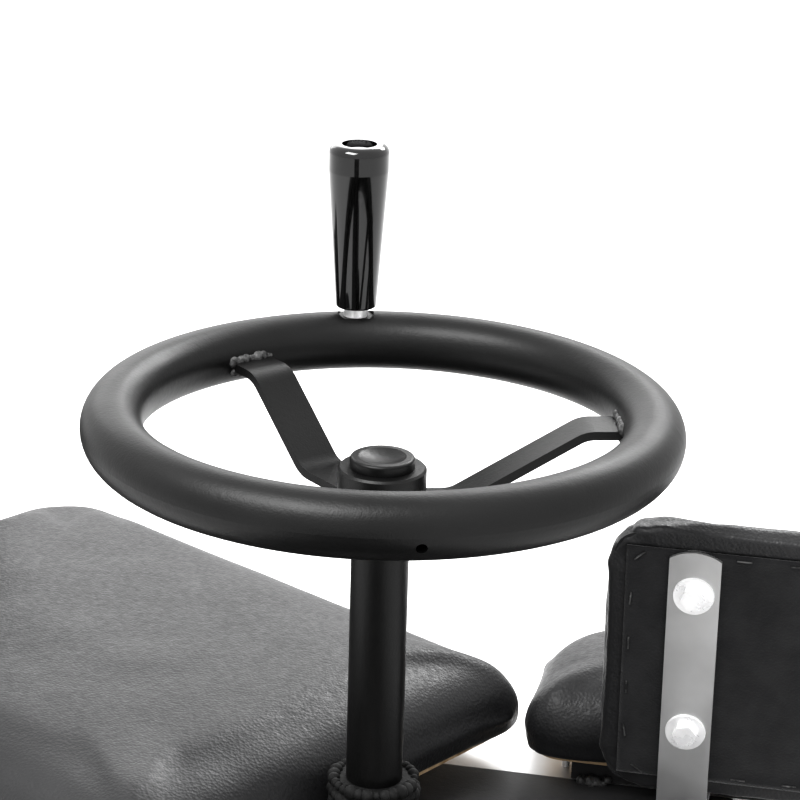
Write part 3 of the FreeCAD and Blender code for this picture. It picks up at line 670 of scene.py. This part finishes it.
def pleat_pad_point(v, half, seat):
    """Gathers folds under each corner and makes the skin above the board's lip slightly uneven."""
    cx, cy = half[0] - PLEAT_REACH, half[1] - PLEAT_REACH
    dx, dy = abs(v.co.x) - cx, abs(v.co.y) - cy
    height = v.co.z + half[2]
    if dx > 0 and dy > 0 and height < PLEAT_HEIGHTS[1]:
        angle = math.atan2(dy, dx)
        near = smoothstep(0.2, 0.8, math.hypot(dx, dy) / PLEAT_REACH)
        mid = math.sin(2 * angle) ** 0.7
        low = 1 - smoothstep(*PLEAT_HEIGHTS, height)
        wave = math.cos(angle * 22 + 2.0 * noise.noise((v.co.x * 9, v.co.y * 9, 3.0)))
        push = PLEAT_DEPTH * wave * near * low * mid
        v.co.x += math.copysign(push * math.cos(angle), v.co.x)
        v.co.y += math.copysign(push * math.sin(angle), v.co.y)
    if v.co.z > -half[2] + BOARD_LIP:
        v.co.z += PAD_RIPPLE * noise.noise((v.co.x * 22, v.co.y * 22, SEATS.index(seat) * 7.0))


def back_place(seat):
    """From the back's own axes: x across, y forward from its rear face, z up its lean."""
    depth = pad_size(seat)[1]
    shift = Matrix.Translation((0, -depth / 2 - BACK_GAP, BACK_FOOT))
    return seat_place(seat) @ shift @ Matrix.Rotation(BACK_LEAN, 4, "X")


def back_outline(inset):
    """Closed outline of the back, inset, with rounded corners."""
    count = 9
    half_w, height = BACK_SIZE[0] / 2 - inset, BACK_SIZE[1] - inset
    corner = max(STAPLE_LINE_CORNER - inset, 0.006)
    points = []
    for cx, cz, turn in ((half_w - corner, height - corner, 0), (-half_w + corner, height - corner, 90),
                         (-half_w + corner, inset + corner, 180), (half_w - corner, inset + corner, 270)):
        for k in range(count + 1):
            a = math.radians(turn + 90 * k / count)
            points.append((cx + corner * math.cos(a), cz + corner * math.sin(a)))
    return points


def back_upholstery(seat):
    """Vinyl over foam, wrapped round to the rear face, with folded corners."""
    half = (BACK_SIZE[0] / 2 - BACK_INSET[0], BACK_SIZE[1] / 2 - BACK_INSET[1], (BACK_THICK + BACK_WRAP) / 2)
    mesh = rounded_solid(half, (BACK_SHOULDER,) * 2, BACK_FOOT_ROUND, (BACK_CORNER,) * 3, BACK_CELL)
    for v in mesh.vertices:
        crown_and_pull(v, half, BACK_CROWN, 0.5, BACK_PULL)
    mesh = inflate(mesh, BACK_PUFF, -half[2] + BACK_FOOT_ROUND)
    seed = SEATS.index(seat) * 5.0
    for v in mesh.vertices:
        fold_back_point(v, half, seed)
    stand = Matrix(((1, 0, 0, 0), (0, 0, 1, 0), (0, 1, 0, 0), (0, 0, 0, 1)))
    raise_it = Matrix.Translation((0, half[2] - BACK_WRAP, BACK_SIZE[1] / 2))
    mesh.transform(back_place(seat) @ raise_it @ stand)
    mesh.flip_normals()
    skin = subdivided(f"seat_{seat}_back_upholstery", mesh, 1, FINISHES["vinyl"])
    add_piece(skin, "rotor", (f"seat_{seat}_back_pad",))


def fold_back_point(v, half, seed):
    """Pleats at the corners and small pulls along the wrapped edge, none on the front's middle."""
    cx, cy = half[0] - BACK_FOLD_REACH, half[1] - BACK_FOLD_REACH
    dx, dy = abs(v.co.x) - cx, abs(v.co.y) - cy
    rear = 1 - smoothstep(-half[2] * 0.2, half[2] * 0.9, v.co.z)
    if dx > 0 and dy > 0:
        angle = math.atan2(dy, dx)
        near = smoothstep(0.25, 0.75, math.hypot(dx, dy) / BACK_FOLD_REACH)
        wave = abs(math.cos(angle * 5.5 + seed * 0.1)) * 2 - 1
        push = BACK_FOLD_DEPTH * wave * near * (0.3 + 0.7 * rear) * math.sin(2 * angle) ** 0.5
        v.co.x += math.copysign(push * math.cos(angle), v.co.x)
        v.co.y += math.copysign(push * math.sin(angle), v.co.y)
        if v.co.z < -half[2] * 0.5:
            v.co.z += 0.0008 * wave * near
    edge = max(abs(v.co.x) / half[0], abs(v.co.y) / half[1])
    if edge > BACK_EDGE:
        pull = noise.noise((v.co.x * 70, v.co.y * 70, seed)) * BACK_RIPPLE * rear
        v.co.x += math.copysign(pull, v.co.x)
        v.co.y += math.copysign(pull, v.co.y)


def back_cloth(seat):
    """The dust cloth over the back's rear face: one sheet, a little slack between its staples."""
    half_w, low, high = BACK_SIZE[0] / 2 - CLOTH_INSET, CLOTH_INSET, BACK_SIZE[1] - CLOTH_INSET
    columns, rows = 72, 52
    verts, faces = [], []
    for j in range(rows + 1):
        for i in range(columns + 1):
            x = -half_w + 2 * half_w * i / columns
            z = low + (high - low) * j / rows
            border = min(half_w - abs(x), z - low, high - z)
            slack = noise.noise((x * 26, z * 26, SEATS.index(seat) * 3.0)) * 0.0007
            lift = slack * smoothstep(0.0, 0.02, border) - 0.0004 * (1 - smoothstep(0.003, 0.007, border))
            verts.append((x, -BACK_WRAP - 0.0010 + min(lift, 0.0005), z))
    for j in range(rows):
        for i in range(columns):
            a = j * (columns + 1) + i
            faces.append((a, a + 1, a + columns + 2, a + columns + 1))
    mesh = bpy.data.meshes.new("back_cloth")
    mesh.from_pydata(verts, [], faces)
    mesh.transform(back_place(seat))
    cloth = mesh_object(f"seat_{seat}_back_cloth", mesh, BACK_CLOTH)
    thick = cloth.modifiers.new("thick", "SOLIDIFY")
    thick.thickness = CLOTH_THICK
    thick.offset = 0
    add_piece(cloth, "rotor")


def back_staples(seat):
    place = back_place(seat)
    path = [place @ Vector((x, -BACK_WRAP - 0.0018, z)) for x, z in back_outline(BACK_STAPLE_INSET)]
    row = grown(f"seat_{seat}_back_staples", STAPLES, [(path, True)],
                {"Spacing": 0.031, "Crown": 0.0085, "Wire": 0.0009}, STAPLE_WIRE, smooth=False)
    add_piece(row, "rotor")


def underside_staples(seat):
    width, depth, foot, _ = pad_size(seat)
    place = seat_place(seat)
    half_w, half_d = width / 2 - UNDERSIDE_STAPLE_INSET, depth / 2 - UNDERSIDE_STAPLE_INSET
    z = foot - 0.0008
    path = [place @ Vector(p) for p in ((-half_w, -half_d, z), (half_w, -half_d, z), (half_w, half_d, z),
                                        (-half_w, half_d, z))]
    row = grown(f"seat_{seat}_underside_staples", STAPLES, [(path, True)],
                {"Spacing": 0.028, "Crown": 0.0100, "Wire": 0.0010}, STAPLE_WIRE, smooth=False)
    add_piece(row, "rotor")


def back_fasteners(seat):
    """Washers and hexagon heads on the straps' outer faces."""
    verts = [(side * STRAP_X, rise, 0) for side in (-1, 1) for rise in BOLT_RISES]
    heads = grown(f"seat_{seat}_fasteners", FASTENERS, [([v], False) for v in verts], {}, FINISHES["zinc"],
                  smooth=False)
    stand = Matrix(((1, 0, 0, 0), (0, 0, -1, -STRAP_THICK), (0, 1, 0, 0), (0, 0, 0, 1)))
    heads.data.transform(back_place(seat) @ stand)
    add_piece(heads, "rotor", (f"seat_{seat}_washers", f"seat_{seat}_bolts"))


def make_seats():
    for seat in SEATS:
        seat_pad(seat)
        back_upholstery(seat)
        back_cloth(seat)
        back_staples(seat)
        back_fasteners(seat)
        underside_staples(seat)


# ---- welds and boot -----------------------------------------------------------------------------
def spoke_directions():
    ways = []
    for k in (1, 2, 3):
        spot = middle(f"spoke_{k}")
        ways.append(Vector((spot.x, spot.y, 0)).normalized())
    return ways


def wheel_welds():
    low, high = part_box("rim")
    tube = (high[2] - low[2]) / 2
    inner = (high[0] - low[0]) / 2 - 2 * tube
    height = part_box("spoke_1")[1][2]
    paths = []
    for way in spoke_directions():
        side = Vector((-way.y, way.x, 0))
        for lift in WELD_LIFTS:
            path = []
            for k in range(9):
                s = (k / 8 - 0.5) * WELD_LENGTH
                reach = inner + 0.0012 - s * s * 1.5
                path.append(way * reach + side * s + Vector((0, 0, height + lift)))
            paths.append((path, False))
    beads = grown("spoke_weld_beads", BEADS, paths, {"Spacing": 0.0017, "Radius": 0.0031, "Smallest": 0.6,
                                                     "Largest": 1.35, "Seed": 5}, WELD)
    add_piece(beads, "base", ("spoke_welds",))


def bearer_bead():
    low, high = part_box("bearer_weld")
    z = low[2] + 0.001
    path = [Vector((low[0] + 0.003, low[1] + 0.003, z)), Vector((high[0] - 0.003, low[1] + 0.002, z)),
            Vector((high[0] - 0.001, (low[1] + high[1]) / 2, z + 0.002))]
    bead = grown("bearer_weld_bead", BEADS, [(path, False)],
                 {"Spacing": 0.0025, "Radius": 0.0035, "Smallest": 0.7, "Largest": 1.4, "Seed": 9}, WELD)
    add_piece(bead, "rotor", ("bearer_weld",))


def boot_lumps():
    """The boot's coarse, lumpy rubber surface."""
    low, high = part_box("post_boot")
    reach = (high[0] - low[0]) / 2
    paths = []
    for level in range(BOOT_ROWS):
        z = low[2] + 0.003 + (high[2] - low[2] - 0.004) * level / (BOOT_ROWS - 1)
        ring = [Vector((math.cos(t) * (reach - 0.003), math.sin(t) * (reach - 0.003), z))
                for t in (math.radians(10 * k + 17 * level) for k in range(36))]
        paths.append((ring, True))
    lumps = grown("post_boot_lumps", BEADS, paths, {"Spacing": 0.0052, "Radius": 0.0034, "Smallest": 0.7,
                                                    "Largest": 1.35, "Seed": 12}, FINISHES["rubber"])
    add_piece(lumps, "rotor")


# ---- stage --------------------------------------------------------------------------------------
def make_camera():
    """The camera stands low in front, a little right of the post, and is rolled slightly."""
    turn, drop, roll = (math.radians(angle) for angle in (CAMERA_TURN, CAMERA_DROP, CAMERA_ROLL))
    ahead = Vector((0, math.cos(drop), -math.sin(drop)))
    right = Vector((1, 0, 0))
    down = ahead.cross(right)
    image_right = right * math.cos(roll) + down * math.sin(roll)
    image_down = -right * math.sin(roll) + down * math.cos(roll)
    spin = Matrix.Rotation(turn, 4, "Z")
    facing = Matrix((image_right, -image_down, -ahead)).transposed().to_4x4()
    camera = bpy.data.objects.new("camera", bpy.data.cameras.new("camera"))
    bpy.context.scene.collection.objects.link(camera)
    camera.data.sensor_width = 36.0
    camera.data.lens = CAMERA_LENS
    camera.data.clip_start = 0.05
    from_wheel = spin @ Matrix.Translation(CAMERA_PLACE) @ facing
    camera.matrix_world = Matrix.Translation(middle("rim")) @ from_wheel
    bpy.context.scene.camera = camera


def area_light(name, place, target, size, power):
    light = bpy.data.lights.new(name, "AREA")
    light.shape = "RECTANGLE"
    light.size, light.size_y = size
    light.energy = power
    obj = bpy.data.objects.new(name, light)
    bpy.context.scene.collection.objects.link(obj)
    aim = (Vector(target) - Vector(place)).to_track_quat("-Z", "Y")
    obj.matrix_world = Matrix.Translation(place) @ aim.to_matrix().to_4x4()


def make_stage():
    mesh = bpy.data.meshes.new("floor")
    corners = [(x * FLOOR_SIZE, y * FLOOR_SIZE, -FLOOR_DROP) for x, y in ((-1, -1), (1, -1), (1, 1), (-1, 1))]
    mesh.from_pydata(corners, [], [(0, 1, 2, 3)])
    mat, nodes, links, shader = new_material("pale_floor", (0.9, 0.9, 0.9), 0.8)
    tint(nodes, links, shader, texture(nodes, links, "noise", 2.0, 3), (0.93, 0.93, 0.93), (0.96, 0.96, 0.96))
    mesh_object("floor", mesh, mat)
    world = bpy.data.worlds.new("studio")
    bpy.context.scene.world = world
    world.use_nodes = True
    world.node_tree.nodes["Background"].inputs["Color"].default_value = (1, 1, 1, 1)
    world.node_tree.nodes["Background"].inputs["Strength"].default_value = 1.0
    for light in LIGHTS:
        area_light(*light)
    bpy.context.scene.view_settings.view_transform = "Standard"
    bpy.context.scene.view_settings.look = "High Contrast"


finish_nodes()
make_seats()
wheel_welds()
bearer_bead()
boot_lumps()
make_camera()
make_stage()
